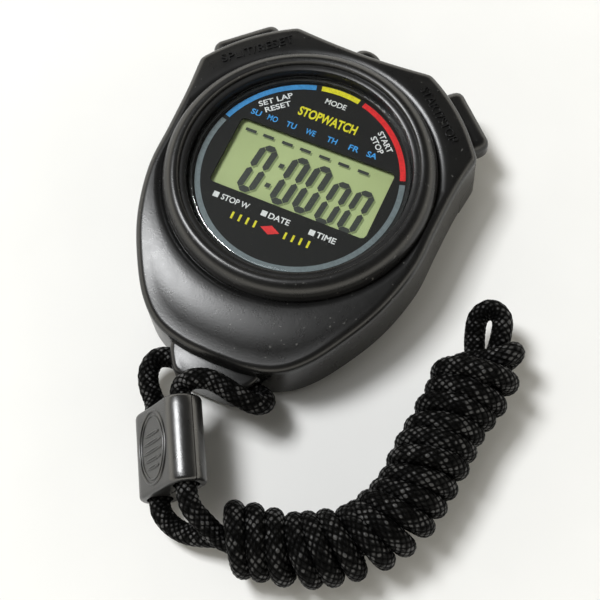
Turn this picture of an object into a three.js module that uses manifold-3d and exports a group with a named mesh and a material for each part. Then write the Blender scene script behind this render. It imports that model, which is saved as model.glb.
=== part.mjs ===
// Hand-held digital stopwatch with a wound lanyard, lying on its back.
// Millimetres, +Z up. The origin is on the flat back, under the middle of the dial;
// +Y points to 12 o'clock and +X to 3 o'clock.
import * as THREE from 'three';
import { mergeVertices } from 'three/addons/utils/BufferGeometryUtils.js';
import Module from 'manifold-3d';

const wasm = await Module();
wasm.setup();

// ---- driving dimensions ----
const GAP = 0.3; // clearance between neighbours
const WALL = 1.8; // case wall
const TOP_EDGE = 30.3; // middle of the hollow top edge, along Y
const TOP_CORNER = [14.6, 31.4]; // where a shoulder starts
const SIDE_CORNER = [30.1, 17.2]; // where a shoulder ends
const SHOULDER_BULGE = 1.3;
const SIDE_POINTS = [[30.1, 17.2], [29.2, 9.5], [28.8, 0], [28.5, -9], [25.9, -19.2], [22.2, -26.9],
  [17.3, -34.2], [12.6, -38], [6.5, -39.8], [0, -40.2]];
const WALL_FOOT = 1.5; // lower edge of the front case
const STEP_Y = 11; // above this line the parting step rises
const STEP_Z = 5.9;
const EDGE_TOP = 15.45;
const CEILING = 11.8; // inside of the front face

const BEZEL_R = 26.75; // outer foot of the bezel
const FOOT_Z = 14.7;
const CREST_Z = 18.8;
const LENS_R = 21.6;
const LENS_Z = 15.55;
const LENS_T = 0.95;
const VIEW_R = 20.8; // opening under the lens
const SEAT_Z = 15.2;
const LEDGE_Z = 14.75;

const BUTTON_ANGLE = THREE.MathUtils.degToRad(42.5);
const BUTTON_W = 14.4;
const BUTTON_H = 6;
const BUTTON_Z = 8;
const BUTTON_TIP = 38; // from the dial axis
const BUTTON_ROUND = 2.2;
const SLOT_GAP = 0.4; // clearance of a shoulder button in its slot
const FLANGE_R = 3.8; // mode button's flange
const STEM_R = 1.2;
const MODE_R = 3.1;
const MODE_Z = 7.8;
const MODE_TIP = 34;

const BACK_T = 1.2;
const SCREW_SPOTS = [[9.5, 24.3], [-9.5, 24.3], [13.4, -28.8], [-13.4, -28.8]];
const BOSS_R = 2.6;
const THREAD_HOLE_R = 1.4;
const BOSS_FOOT = 4.9;
const BOSS_TOP = 12.2; // depth of the screw holes, inside the face

const BOARD_Z = 6.8;
const BOARD_T = 1;
const BOARD_SCREW_SPOTS = [[0, 14], [11, -14], [-11, -14]];
const CELL_SPOT = [0, -20];
const CELL_R = 5.8;
const CELL_TOP = 7.5;
const SPRING_R = 1.3; // middle of the wire
const SPRING_WIRE = 0.2;
const SPRING_TURNS = 3;
const LCD_X = 0.5; // middle of the display along X
const FRAME_R = 21.3;
const FRAME_Z = 9.5;
const FRAME_TOP = 13.9;

const CORD_D = 4.2;
const TUNNEL_Y = -41.3;
const TUNNEL_Z = 6;
const TUNNEL_R = 2.6;
const SLIDER_AT = new THREE.Vector3(-0.1, -58, 7.8);
const SLIDER_HEADING = THREE.MathUtils.degToRad(-60); // long axis, seen from above
const SLIDER_ROLL = THREE.MathUtils.degToRad(53); // tilt about the long axis
const SLIDER_L = 16.4;
const SLIDER_W = 17.3;
const SLIDER_T = 7.6;
const STRAND_GAP = 4.9; // each strand's distance from the slider's middle
const HANK_R = 7.3;
const HANK_Z = 7.4; // height of its middle line

// ---- materials ----
function plastic(colour, roughness, metalness = 0) {
  return new THREE.MeshStandardMaterial({ color: colour, roughness, metalness });
}
const COLOUR = {
  shell: [0x1c1d1f, 0.45], rubber: [0x141414, 0.8], clear: [0xdfe6e8, 0.05], print: [0x101011, 0.4],
  display: [0x9baa69, 0.3], film: [0xb9bfae, 0.3], frame: [0x2a2b2c, 0.6], board: [0x1f5a34, 0.5],
  resin: [0x0c0c0c, 0.3], cord: [0x121213, 0.9], ceramic: [0xb58a5a, 0.5],
  steel: [0xb8babd, 0.35, 1], brass: [0xc9a24a, 0.35, 1],
};

// ---- solids ----
const root = new THREE.Group();

function addPart(name, shape, colour, parent = root) {
  const geometry = shape instanceof THREE.BufferGeometry ? shape : toGeometry(shape);
  const mesh = new THREE.Mesh(geometry, plastic(...COLOUR[colour]));
  mesh.name = name;
  parent.add(mesh);
  return mesh;
}

function solid(geometry) {
  const bare = geometry.clone();
  bare.deleteAttribute('normal');
  bare.deleteAttribute('uv');
  const merged = mergeVertices(bare, 1e-4);
  return new wasm.Manifold(new wasm.Mesh({
    numProp: 3,
    vertProperties: new Float32Array(merged.attributes.position.array),
    triVerts: new Uint32Array(merged.index.array),
  }));
}

function toGeometry(manifold) {
  const mesh = manifold.getMesh();
  const geometry = new THREE.BufferGeometry();
  geometry.setAttribute('position', new THREE.BufferAttribute(mesh.vertProperties, 3));
  geometry.setIndex(new THREE.BufferAttribute(mesh.triVerts, 1));
  return geometry;
}

function join(first, ...others) {
  return others.reduce((whole, next) => whole.add(next), first);
}

function cut(first, ...others) {
  return others.reduce((whole, next) => whole.subtract(next), first);
}

function box(x0, x1, y0, y1, z0, z1) {
  const geometry = new THREE.BoxGeometry(x1 - x0, y1 - y0, z1 - z0);
  return geometry.translate((x0 + x1) / 2, (y0 + y1) / 2, (z0 + z1) / 2);
}

function drum(x, y, radius, z0, z1, sides = 16) {
  const geometry = new THREE.CylinderGeometry(radius, radius, z1 - z0, sides);
  return geometry.rotateX(Math.PI / 2).translate(x, y, (z0 + z1) / 2);
}

// A turned solid about +Z from [radius, height] pairs that close on themselves or on the axis.
function turned(profile, sides = 40) {
  const points = profile.map(([r, z]) => new THREE.Vector2(r, z));
  return new THREE.LatheGeometry(points, sides).rotateX(Math.PI / 2);
}

function ring(inner, outer, z0, z1, sides = 40) {
  return turned([[inner, z0], [outer, z0], [outer, z1], [inner, z1], [inner, z0]], sides);
}

// Moves every point of a counter-clockwise outline inwards by a distance.
function inset(outline, distance) {
  const count = outline.length;
  return outline.map((point, i) => {
    const before = point.clone().sub(outline[(i + count - 1) % count]).normalize();
    const after = outline[(i + 1) % count].clone().sub(point).normalize();
    const along = before.clone().add(after).normalize();
    const shift = distance / Math.max(0.5, along.dot(before));
    return new THREE.Vector2(point.x - along.y * shift, point.y + along.x * shift);
  });
}

// A closed solid through copies of one outline, each [inset, height].
function loft(outline, levels) {
  const count = outline.length;
  const vertices = [];
  const triangles = [];
  for (const [amount, height] of levels) {
    for (const point of inset(outline, amount)) vertices.push(point.x, point.y, height);
  }
  for (let level = 0; level < levels.length - 1; level += 1) {
    for (let i = 0; i < count; i += 1) {
      const a = level * count + i;
      const b = level * count + (i + 1) % count;
      triangles.push(a, b, b + count, a, b + count, a + count);
    }
  }
  const last = (levels.length - 1) * count;
  for (const [a, b, c] of THREE.ShapeUtils.triangulateShape(inset(outline, levels[0][0]), [])) {
    triangles.push(a, c, b);
  }
  for (const [a, b, c] of THREE.ShapeUtils.triangulateShape(inset(outline, levels.at(-1)[0]), [])) {
    triangles.push(last + a, last + b, last + c);
  }
  const geometry = new THREE.BufferGeometry();
  geometry.setAttribute('position', new THREE.Float32BufferAttribute(vertices, 3));
  geometry.setIndex(triangles);
  return geometry;
}

function distanceTo(point, outline) {
  return Math.min(...outline.map((start, i) => {
    const end = outline[(i + 1) % outline.length];
    const line = new THREE.Line3(new THREE.Vector3(start.x, start.y, 0), new THREE.Vector3(end.x, end.y, 0));
    const here = new THREE.Vector3(point.x, point.y, 0);
    return line.closestPointToPoint(here, true, new THREE.Vector3()).distanceTo(here);
  }));
}

// The curve at one distance inside an outline, without the points that fold over at corners.
function parallel(outline, distance) {
  if (distance <= 0) return inset(outline, distance);
  const kept = inset(outline, distance).filter((point) => distanceTo(point, outline) > distance * 0.998);
  return kept.filter((point, i) => point.distanceTo(kept[(i + 1) % kept.length]) > 0.05);
}

function prism(outline, distance, z0, z1) {
  return loft(parallel(outline, distance), [[0, z0], [0, z1]]);
}

function band(outline, outer, inner, z0, z1) {
  return solid(prism(outline, outer, z0, z1)).subtract(solid(prism(outline, inner, z0 - 1, z1 + 1)));
}

function roundedRectangle(width, height, radius, steps = 4) {
  const points = [];
  const corners = [[1, -1, -90], [1, 1, 0], [-1, 1, 90], [-1, -1, 180]];
  for (const [sx, sy, start] of corners) {
    for (let i = 0; i <= steps; i += 1) {
      const angle = THREE.MathUtils.degToRad(start + (90 * i) / steps);
      points.push(new THREE.Vector2(sx * (width / 2 - radius) + radius * Math.cos(angle),
        sy * (height / 2 - radius) + radius * Math.sin(angle)));
    }
  }
  return points;
}

// ---- the case outline ----
// Points on a shallow parabolic arc from one end to the other, bulging to the left of the way.
function arc(from, to, bulge, steps) {
  const [ax, ay] = from;
  const [bx, by] = to;
  const chord = Math.hypot(bx - ax, by - ay);
  const points = [];
  for (let i = 0; i <= steps; i += 1) {
    const t = i / steps;
    const lift = 4 * bulge * t * (1 - t);
    points.push(new THREE.Vector2(ax + (bx - ax) * t - ((by - ay) / chord) * lift,
      ay + (by - ay) * t + ((bx - ax) / chord) * lift));
  }
  return points;
}

function caseOutline() {
  const shorten = 0.05; // leaves out a corner's own point, so that the corner is eased
  const top = arc([0, TOP_EDGE], TOP_CORNER, -0.28, 4).slice(0, -1);
  const nearTop = new THREE.Vector2(TOP_CORNER[0] - 0.8, TOP_CORNER[1] - 0.08);
  const shoulder = arc(TOP_CORNER, SIDE_CORNER, SHOULDER_BULGE, 10).slice(1, -1);
  const afterTop = shoulder[0].clone().lerp(new THREE.Vector2(...TOP_CORNER), 0.7 - shorten);
  const beforeSide = shoulder.at(-1).clone().lerp(new THREE.Vector2(...SIDE_CORNER), 0.7 - shorten);
  const curve = new THREE.SplineCurve(SIDE_POINTS.map(([x, y]) => new THREE.Vector2(x, y)));
  const side = curve.getSpacedPoints(22).slice(1);
  const eased = new THREE.Vector2(SIDE_CORNER[0] - 0.06, SIDE_CORNER[1] - 0.7);
  const right = [...top, nearTop, afterTop, ...shoulder, beforeSide, eased, ...side];
  const left = right.slice(1, -1).reverse().map((p) => new THREE.Vector2(-p.x, p.y));
  return [...right, ...left].reverse();
}
const OUTLINE = caseOutline();

// A solid drawn across +Y and carried out along it, then turned to a button's direction.
function outward(outline, levels, height, turn = 0) {
  return loft(outline, levels).rotateX(-Math.PI / 2).translate(0, 0, height).rotateZ(turn);
}

const CAP_OUTLINE = roundedRectangle(BUTTON_W, BUTTON_H, BUTTON_ROUND, 3);
const MODE_OUTLINE = roundedRectangle(2 * MODE_R, 2 * MODE_R, MODE_R - 0.01, 6);

function buttonSlots() {
  const wide = [[-SLOT_GAP, 28], [-SLOT_GAP, 40]];
  const mode = [[-GAP, 26], [-GAP, 36]];
  const right = outward(CAP_OUTLINE, wide, BUTTON_Z, -BUTTON_ANGLE);
  const left = outward(CAP_OUTLINE, wide, BUTTON_Z, BUTTON_ANGLE);
  return [right, left, outward(MODE_OUTLINE, mode, MODE_Z)].map(solid);
}

// ---- case ----
function threadHole(x, y) {
  return solid(drum(x, y, THREAD_HOLE_R, 4, BOSS_TOP, 16));
}

function frontCase() {
  const rounding = [[0, WALL_FOOT], [0, 13.8], [0.25, 14.65], [0.8, 15.2], [1.6, EDGE_TOP]];
  const face = [[0, -1], [60, -1], [60, 2.3], [45, 11.5], [40, 13.4], [36, 14.4], [32, 15.1], [28.2, 15.4],
    [27.4, 15.2], [BEZEL_R, FOOT_Z], [0, FOOT_Z]];
  const bezel = [[20, 12], [BEZEL_R, 12], [BEZEL_R, FOOT_Z], [26.65, 15.9], [26.15, 17.2], [25.4, 18.3],
    [24.6, CREST_Z], [23.8, 18.75], [23.2, 18.35], [23.15, 17.75], [22.1, 17.75], [21.95, 17.4], [20, 17.4],
    [20, 12]];
  const lug = [[-9.6, -37], [-9.2, -40.2], [-6.9, -43.6], [-5.6, -44.4], [5.6, -44.4], [6.9, -43.6],
    [9.2, -40.2], [9.6, -37]].map(([x, y]) => new THREE.Vector2(x, y));
  let shell = solid(loft(OUTLINE, rounding)).intersect(solid(turned(face)));
  shell = join(shell, solid(turned(bezel)), solid(loft(lug, [[0, WALL_FOOT], [0, 9], [0.5, 9.6]])));
  const tunnel = drum(0, 0, TUNNEL_R, -9.5, 9.5, 20).rotateY(Math.PI / 2).translate(0, TUNNEL_Y, TUNNEL_Z);
  shell = cut(shell, solid(prism(OUTLINE, WALL, 0, CEILING)),
    solid(drum(0, 0, LENS_R + 0.1, 5, LEDGE_Z, 40)), solid(drum(0, 0, VIEW_R, 5, 25, 40)),
    solid(drum(0, 0, LENS_R + GAP, SEAT_Z, 25, 40)), solid(ring(23.2, 25.5, 5, 16.4)), solid(tunnel));
  for (const [x, y] of SCREW_SPOTS) shell = shell.add(solid(drum(x, y, BOSS_R, BOSS_FOOT, CEILING + 0.5)));
  for (const [x, y] of SCREW_SPOTS) shell = shell.subtract(threadHole(x, y));
  shell = shell.subtract(solid(box(-40, 40, STEP_Y - GAP / 2, 40, 0, STEP_Z + GAP / 2)));
  for (const [x, y] of SCREW_SPOTS.slice(0, 2)) {
    const boss = solid(drum(x, y, BOSS_R, BOSS_FOOT, STEP_Z + 1));
    shell = shell.add(boss.subtract(threadHole(x, y)));
  }
  return cut(shell, ...buttonSlots());
}

function backCover() {
  let cover = solid(loft(OUTLINE, [[1, 0], [0.6, 0.4], [0.6, BACK_T]]));
  cover = cover.add(band(OUTLINE, 3.5, 4.4, 0.5, 3.2));
  const wing = band(OUTLINE, 0, WALL, BACK_T - 0.4, STEP_Z - GAP / 2);
  cover = cover.add(wing.intersect(solid(box(-40, 40, STEP_Y + GAP / 2, 40, 0, 9))));
  for (const [x, y] of SCREW_SPOTS) cover = cover.add(solid(drum(x, y, 2.9, 0.2, 4.6)));
  for (const [x, y] of SCREW_SPOTS) {
    cover = cut(cover, solid(drum(x, y, 2.5, -1, 2.4)), solid(drum(x, y, 1.45, -1, 6, 16)));
  }
  return cut(cover, ...buttonSlots());
}

// A cross-head screw standing on its head, its tip up.
function screw(x, y, z, headR, headT, shaftR, length) {
  const slot = box(x - headR * 0.7, x + headR * 0.7, y - 0.22, y + 0.22, z - 1, z + headT * 0.4);
  const cross = box(x - 0.22, x + 0.22, y - headR * 0.7, y + headR * 0.7, z - 1, z + headT * 0.4);
  const profile = [[0, z], [headR * 0.8, z], [headR, z + headT * 0.4], [headR, z + headT],
    [shaftR, z + headT], [shaftR, z + length - shaftR], [0, z + length]];
  const body = turned(profile, 12).translate(x, y, 0);
  return cut(solid(body), solid(slot), solid(cross));
}

function buildCase() {
  addPart('front_case', frontCase(), 'shell');
  addPart('back_cover', backCover(), 'shell');
  addPart('case_gasket', band(OUTLINE, 2.4, 3.15, BACK_T + 0.1, 2.3), 'rubber');
  SCREW_SPOTS.forEach(([x, y], i) => {
    addPart(`case_screw_${i + 1}`, screw(x, y, 0.7, 2.15, 1.4, 1.1, 10.5), 'steel');
  });
  addPart('lens_seal', ring(20.95, LENS_R - 0.1, SEAT_Z + 0.1, LENS_Z - 0.1), 'rubber');
  addPart('lens', turned([[0, LENS_Z], [LENS_R, LENS_Z], [LENS_R, LENS_Z + LENS_T - 0.4],
    [LENS_R - 0.4, LENS_Z + LENS_T], [12, LENS_Z + LENS_T + 0.2], [0, LENS_Z + LENS_T + 0.3]]), 'clear');
}

// ---- display and electronics ----
function plate(width, height, z0, z1, radius = 0.6, x = LCD_X) {
  return loft(roundedRectangle(width, height, radius, 2), [[0, z0], [0, z1]]).translate(x, 0, 0);
}

function buildDisplay() {
  const dial = solid(drum(0, 0, LENS_R - 0.2, 14, 14.6, 40));
  addPart('dial_plate', dial.subtract(solid(plate(33, 15.3, 13, 16, 0.9))), 'print');
  addPart('lcd_front_polarizer', plate(34, 16.6, 13.2, 13.4), 'film');
  addPart('lcd_glass', plate(35, 18, 11.4, 13.1, 0.3), 'display');
  addPart('lcd_reflector', plate(34, 14.2, 11.1, 11.3), 'film');
  for (const [name, side] of [['upper', 1], ['lower', -1]]) {
    const strip = box(-16, 17, side * 8.2 - 0.6, side * 8.2 + 0.6, BOARD_Z + BOARD_T + 0.15, 11.25);
    addPart(`zebra_strip_${name}`, strip, 'rubber');
  }
  let frame = solid(drum(0, 0, FRAME_R, FRAME_Z, FRAME_TOP, 36));
  frame = frame.subtract(solid(plate(35.6, 18.6, 10.9, 16, 0.4)));
  for (const side of [1, -1]) {
    frame = frame.subtract(solid(box(-16.3, 17.3, side * 8.2 - 0.9, side * 8.2 + 0.9, 8, 12)));
  }
  for (const [x, y] of BOARD_SCREW_SPOTS) {
    frame = frame.add(solid(drum(x, y, 1.9, BOARD_Z + BOARD_T + 0.15, FRAME_Z + 0.5, 16)));
    frame = frame.subtract(solid(drum(x, y, 1, 7, 12, 12)));
  }
  addPart('module_frame', frame, 'frame');
}

function circuitBoard() {
  let board = solid(prism(OUTLINE, 4.4, BOARD_Z, BOARD_Z + BOARD_T));
  board = board.intersect(solid(box(-40, 40, -28.2, 23.3, 0, 20)));
  for (const side of [1, -1]) {
    board = board.subtract(solid(box(-12, 12, 26.2, 60, 0, 20).rotateZ(-side * BUTTON_ANGLE)));
  }
  for (const [x, y] of SCREW_SPOTS) board = board.subtract(solid(drum(x, y, BOSS_R + 0.5, 0, 20)));
  for (const [x, y] of BOARD_SCREW_SPOTS) board = board.subtract(solid(drum(x, y, 1, 0, 20, 12)));
  return board.subtract(solid(drum(...CELL_SPOT, CELL_R + 0.5, 0, 20, 32)));
}

// A coil spring standing on +Z: a round wire along a helix.
function coilSpring(x, y, z0, z1) {
  const points = [];
  const steps = SPRING_TURNS * 8;
  for (let i = 0; i <= steps; i += 1) {
    const angle = (i / 8) * 2 * Math.PI;
    points.push(new THREE.Vector3(x + SPRING_R * Math.cos(angle), y + SPRING_R * Math.sin(angle),
      z0 + SPRING_WIRE + ((z1 - z0 - 2 * SPRING_WIRE) * i) / steps));
  }
  const section = new THREE.Shape(roundSection(SPRING_WIRE, 5));
  const path = new THREE.CatmullRomCurve3(points);
  return new THREE.ExtrudeGeometry(section, { steps, bevelEnabled: false, extrudePath: path });
}

function roundSection(radius, sides) {
  return Array.from({ length: sides }, (_, i) => {
    const angle = (2 * Math.PI * i) / sides;
    return new THREE.Vector2(radius * Math.cos(angle), radius * Math.sin(angle));
  });
}

function buildElectronics() {
  const under = BOARD_Z - 0.15; // parts on the lower side of the board end here
  const [cellX, cellY] = CELL_SPOT;
  addPart('circuit_board', circuitBoard(), 'board');
  const dome = turned([[0, 5.1], [2, 5.25], [3.4, 5.8], [4, under], [0, under]], 24);
  addPart('chip_cover', dome.translate(-7, 3, 0), 'resin');
  const can = turned([[0, -3], [0.8, -3], [0.8, -2.5], [1, -2.5], [1, 2.8], [0.8, 3], [0, 3]], 16);
  addPart('quartz_crystal', can.rotateY(Math.PI / 2).translate(9, -1, under - 1.1), 'steel');
  addPart('capacitor_left', box(-15.2, -13.2, -5.6, -4.4, 5.6, under), 'ceramic');
  addPart('capacitor_right', box(13.2, 15.2, 6.4, 7.6, 5.6, under), 'ceramic');
  const bobbin = turned([[0, 3.6], [2.3, 3.6], [2.3, 4.1], [1.7, 4.4], [1.7, 6], [2.3, 6.3],
    [2.3, under], [0, under]], 20);
  addPart('buzzer_coil', bobbin.translate(10, -10, 0), 'resin');
  const cell = turned([[0, 2.1], [CELL_R - 0.4, 2.1], [CELL_R, 2.5], [CELL_R, 6.9], [CELL_R - 0.5, 7.2],
    [CELL_R - 1.1, 7.2], [CELL_R - 1.3, CELL_TOP], [0, CELL_TOP]], 24);
  addPart('button_cell', cell.translate(cellX, cellY, 0), 'steel');
  const strap = box(-2.5, 2.5, cellY - 7.4, cellY + 7.4, 1.5, 1.8);
  const legs = [cellY - 7.4, cellY + 7.1].map((y) => solid(box(-2.5, 2.5, y, y + GAP, 1.5, under)));
  addPart('battery_clip', join(solid(strap), ...legs), 'steel');
  const above = BOARD_Z + BOARD_T + 0.1; // parts on the upper side of the board start here
  const leaf = solid(box(cellX - 9.5, cellX + 9.5, cellY - 2, cellY + 2, above, above + 0.25));
  const nub = drum(cellX, cellY, 1.2, CELL_TOP + 0.15, above + 0.1, 12);
  addPart('battery_contact', leaf.add(solid(nub)), 'brass');
  const disc = turned([[0, BACK_T + 0.1], [13.5, BACK_T + 0.1], [13.5, BACK_T + 0.4],
    [10, BACK_T + 0.4], [9.8, BACK_T + 0.6], [0, BACK_T + 0.6]], 28);
  addPart('buzzer_disc', disc.translate(0, 4, 0), 'brass');
  addPart('buzzer_spring_inner', coilSpring(5, 9, 1.95, under), 'brass');
  addPart('buzzer_spring_rim', coilSpring(-8.5, 12.3, 1.75, under), 'brass');
  BOARD_SCREW_SPOTS.forEach(([x, y], i) => {
    addPart(`board_screw_${i + 1}`, screw(x, y, BOARD_Z - 0.8, 1.6, 0.65, 0.7, 5), 'steel');
  });
}

// ---- buttons: drawn pointing to +Y, in groups turned to their directions ----
function shoulderButton(name, angle) {
  const place = new THREE.Group();
  place.rotation.z = angle;
  root.add(place);
  const cap = outward(CAP_OUTLINE, [[0, 30], [0, BUTTON_TIP - 1.6], [0.35, BUTTON_TIP - 0.75],
    [0.95, BUTTON_TIP - 0.2], [1.7, BUTTON_TIP]], BUTTON_Z);
  const flange = outward(CAP_OUTLINE, [[-0.4, 29.6], [-0.4, 30.8]], BUTTON_Z);
  const nose = box(-2, 2, 27.3, 30, 8.3, 9.9);
  const groove = band(CAP_OUTLINE, -1, 0.8, 32.2, 33.4);
  const grooveTurned = solid(toGeometry(groove).rotateX(-Math.PI / 2).translate(0, 0, BUTTON_Z));
  const button = join(solid(cap), solid(flange), solid(nose)).subtract(grooveTurned);
  addPart(`${name}_button`, button, 'shell', place);
  const seal = toGeometry(band(CAP_OUTLINE, -0.1, 0.5, 32.5, 33.1)).rotateX(-Math.PI / 2);
  addPart(`${name}_seal`, seal.translate(0, 0, BUTTON_Z), 'rubber', place);
  addPart(`${name}_contact`, leafContact(22.4, 25.6), 'brass', place);
}

function leafContact(inner, outer) {
  const foot = BOARD_Z + BOARD_T + 0.1;
  return join(solid(box(-1.5, 1.5, inner, outer, foot, foot + 0.25)),
    solid(box(-1.5, 1.5, outer - 0.25, outer, foot, 10.1)));
}

function buildButtons() {
  shoulderButton('start_stop', -BUTTON_ANGLE);
  shoulderButton('split_reset', BUTTON_ANGLE);
  const mode = turned([[0, 24.9], [STEM_R, 24.9], [STEM_R, 25.9], [FLANGE_R, 25.9], [FLANGE_R, 27.2],
    [MODE_R, 27.2], [MODE_R, 28.9], [MODE_R - 0.7, 28.9], [MODE_R - 0.7, 30.1], [MODE_R, 30.1],
    [MODE_R, 32.8], [2.7, 33.5], [2, 33.9], [0, MODE_TIP]], 18);
  addPart('mode_button', mode.rotateX(-Math.PI / 2).translate(0, 0, MODE_Z), 'shell');
  const seal = ring(MODE_R - 0.5, MODE_R + 0.1, 29.2, 29.8, 18);
  addPart('mode_seal', seal.rotateX(-Math.PI / 2).translate(0, 0, MODE_Z), 'rubber');
  addPart('mode_contact', leafContact(20.6, 23.2), 'brass');
}

// ---- slider on the lanyard ----
function buildSlider() {
  const place = new THREE.Group();
  place.position.copy(SLIDER_AT);
  place.rotation.set(0, 0, SLIDER_HEADING);
  root.add(place);
  const outline = roundedRectangle(SLIDER_W, SLIDER_T, SLIDER_T / 2 - 0.05, 6);
  // The section's own x runs across the two strands; the long axis becomes +X.
  const stand = (geometry) => geometry.rotateZ(SLIDER_ROLL).rotateY(Math.PI / 2).rotateX(Math.PI / 2);
  const half = SLIDER_L / 2;
  const body = solid(loft(outline, [[0.35, -half], [0, -half + 0.35], [0, half - 0.35], [0.35, half]]));
  const holes = [1, -1].map((side) => solid(drum(side * STRAND_GAP, 0, CORD_D / 2 + 0.4, -20, 20, 20)));
  for (const [name, low, high] of [['slider_front', 0.05, 9], ['slider_back', -9, -0.05]]) {
    const piece = cut(body, ...holes).intersect(solid(box(-20, 20, low, high, -20, 20)));
    addPart(name, stand(toGeometry(largest(piece))), 'shell', place);
  }
}

// The biggest body of a piece that the strand holes have parted.
function largest(piece) {
  const bodies = piece.decompose();
  return bodies.reduce((best, next) => (next.volume() > best.volume() ? next : best));
}

// ---- lanyard ----
function curveThrough(points) {
  return new THREE.CatmullRomCurve3(points.map((p) => new THREE.Vector3(...p)), false, 'centripetal');
}

function tube(points, radius, sides, steps) {
  const path = curveThrough(points);
  const section = new THREE.Shape(roundSection(radius, sides));
  return new THREE.ExtrudeGeometry(section, { steps, bevelEnabled: false, extrudePath: path });
}

// A strand's straight run through the slider; side is -1 for the lower hole, 1 for the upper one.
function throughSlider(side) {
  const across = new THREE.Vector3(-Math.sin(SLIDER_HEADING), Math.cos(SLIDER_HEADING), 0)
    .multiplyScalar(Math.cos(SLIDER_ROLL)).setZ(Math.sin(SLIDER_ROLL));
  const along = new THREE.Vector3(Math.cos(SLIDER_HEADING), Math.sin(SLIDER_HEADING), 0);
  const middle = SLIDER_AT.clone().addScaledVector(across, side * STRAND_GAP);
  return [-10.8, -7.5, 0, 7.5, 10.2].map((reach) => middle.clone().addScaledVector(along, reach).toArray());
}

const LEFT_STRAND = [
  [-0.2, -41.3, 6], [-4.5, -41.3, 6], [-8.9, -41.3, 6], [-11.3, -42.5, 5.9], [-11.6, -45.2, 5.3],
  [-10.4, -47.7, 4.5], ...throughSlider(-1), [4.7, -69.7, 3.7], [7.4, -70.3, 3.8], [10, -70.2, 4.3],
  [12.4, -69.9, 4.8]];
const RIGHT_STRAND = [
  [0.2, -41.3, 6], [4.5, -41.3, 6], [8.8, -41.3, 6], [11.3, -41.6, 6.4], [12.2, -42.9, 7.7],
  [10.9, -44.3, 9.6], [8, -44.6, 11.3], [4.9, -44.3, 12.3], [1.8, -44.2, 12.8], [-0.9, -45.2, 12.8],
  ...throughSlider(1), [9.2, -67, 11.2], [11, -67.8, 10.4], [12.8, -68.3, 9.9]];
const HANK_LINE = [
  [15.2, -68.7], [17.5, -68.2], [21.8, -67.1], [25.6, -66.4], [29.2, -65.5], [33, -63.5], [36.1, -61.3],
  [39, -58.9], [41.1, -55.8], [42.7, -52.2], [43.7, -48.2], [44.1, -44.4], [44.3, -40.7], [44.5, -36.7],
  [44.8, -32.6], [45.4, -28.8], [46, -25], [46.2, -21.3], [46, -18.2]].map(([x, y]) => [x, y, HANK_Z]);

// The winding is one bent roll, parted half way so that each half is a simple shape.
function hankHalves() {
  const line = curveThrough(HANK_LINE);
  const middle = line.getPointAt(0.5);
  const heading = line.getTangentAt(0.5);
  const slab = box(-GAP / 2, GAP / 2, -12, 12, -12, 12).rotateZ(Math.atan2(heading.y, heading.x))
    .translate(middle.x, middle.y, middle.z);
  const halves = solid(tube(HANK_LINE, HANK_R, 14, 20)).subtract(solid(slab)).decompose();
  return halves.sort((one, other) => one.boundingBox().min[1] - other.boundingBox().min[1]);
}

function buildLanyard() {
  addPart('cord_left_strand', tube(LEFT_STRAND, CORD_D / 2, 8, 30), 'cord');
  addPart('cord_right_strand', tube(RIGHT_STRAND, CORD_D / 2, 8, 36), 'cord');
  const [lower, upper] = hankHalves();
  addPart('hank_winding_lower', lower, 'cord');
  addPart('hank_winding_upper', upper, 'cord');
  const loop = roundedRectangle(10.8, 12.6, 5.3, 5);
  addPart('hank_end_loop', loft(loop, [[1.2, 2.9], [0, 5], [0, 9.8], [1.2, 11.9]]).translate(0, 6.9, 0)
    .rotateZ(THREE.MathUtils.degToRad(12)).translate(46.1, -17.7, 0), 'cord');
}

buildCase();
buildDisplay();
buildElectronics();
buildButtons();
buildSlider();
buildLanyard();

export default root;
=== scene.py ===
# Looks of the hand-held digital stopwatch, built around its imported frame.
# Points are given in millimetres, as in the part's own source, and scaled to metres where a mesh is made.
import math

import bmesh
import bpy
import numpy as np
from mathutils import Matrix, Vector


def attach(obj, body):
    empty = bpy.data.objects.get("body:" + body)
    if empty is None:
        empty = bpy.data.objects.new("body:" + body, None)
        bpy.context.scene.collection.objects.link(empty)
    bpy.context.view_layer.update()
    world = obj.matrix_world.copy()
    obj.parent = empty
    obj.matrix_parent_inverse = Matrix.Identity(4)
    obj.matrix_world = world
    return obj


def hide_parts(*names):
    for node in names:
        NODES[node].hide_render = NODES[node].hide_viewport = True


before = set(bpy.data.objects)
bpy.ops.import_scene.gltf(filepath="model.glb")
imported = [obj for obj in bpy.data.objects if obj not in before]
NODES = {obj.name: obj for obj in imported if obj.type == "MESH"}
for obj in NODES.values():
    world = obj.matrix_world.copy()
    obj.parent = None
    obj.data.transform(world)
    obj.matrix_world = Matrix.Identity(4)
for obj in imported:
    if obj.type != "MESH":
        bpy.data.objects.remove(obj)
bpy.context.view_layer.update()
MM = 0.001


# ---- camera
LENS_MM = 84.19
CAMERA_AT = (65.27, -111.95, 255.09)
CAMERA_RIGHT = (0.9082, 0.4151, -0.0530)
CAMERA_BACK = (0.2075, -0.3367, 0.9185)


def make_camera():
    data = bpy.data.cameras.new("camera")
    data.lens = LENS_MM
    data.sensor_width = 36
    data.clip_start = 0.01
    camera = bpy.data.objects.new("camera", data)
    bpy.context.scene.collection.objects.link(camera)
    back = Vector(CAMERA_BACK).normalized()
    up = back.cross(Vector(CAMERA_RIGHT)).normalized()
    right = up.cross(back)
    turn = Matrix((right, up, back)).transposed()
    camera.matrix_world = Matrix.Translation(Vector(CAMERA_AT) * MM) @ turn.to_4x4()
    bpy.context.scene.camera = camera


make_camera()


# ---- node helpers
def new_material(name):
    material = bpy.data.materials.new(name)
    material.use_nodes = True
    tree = material.node_tree
    shader = tree.nodes["Principled BSDF"]
    return material, tree, shader


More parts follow.
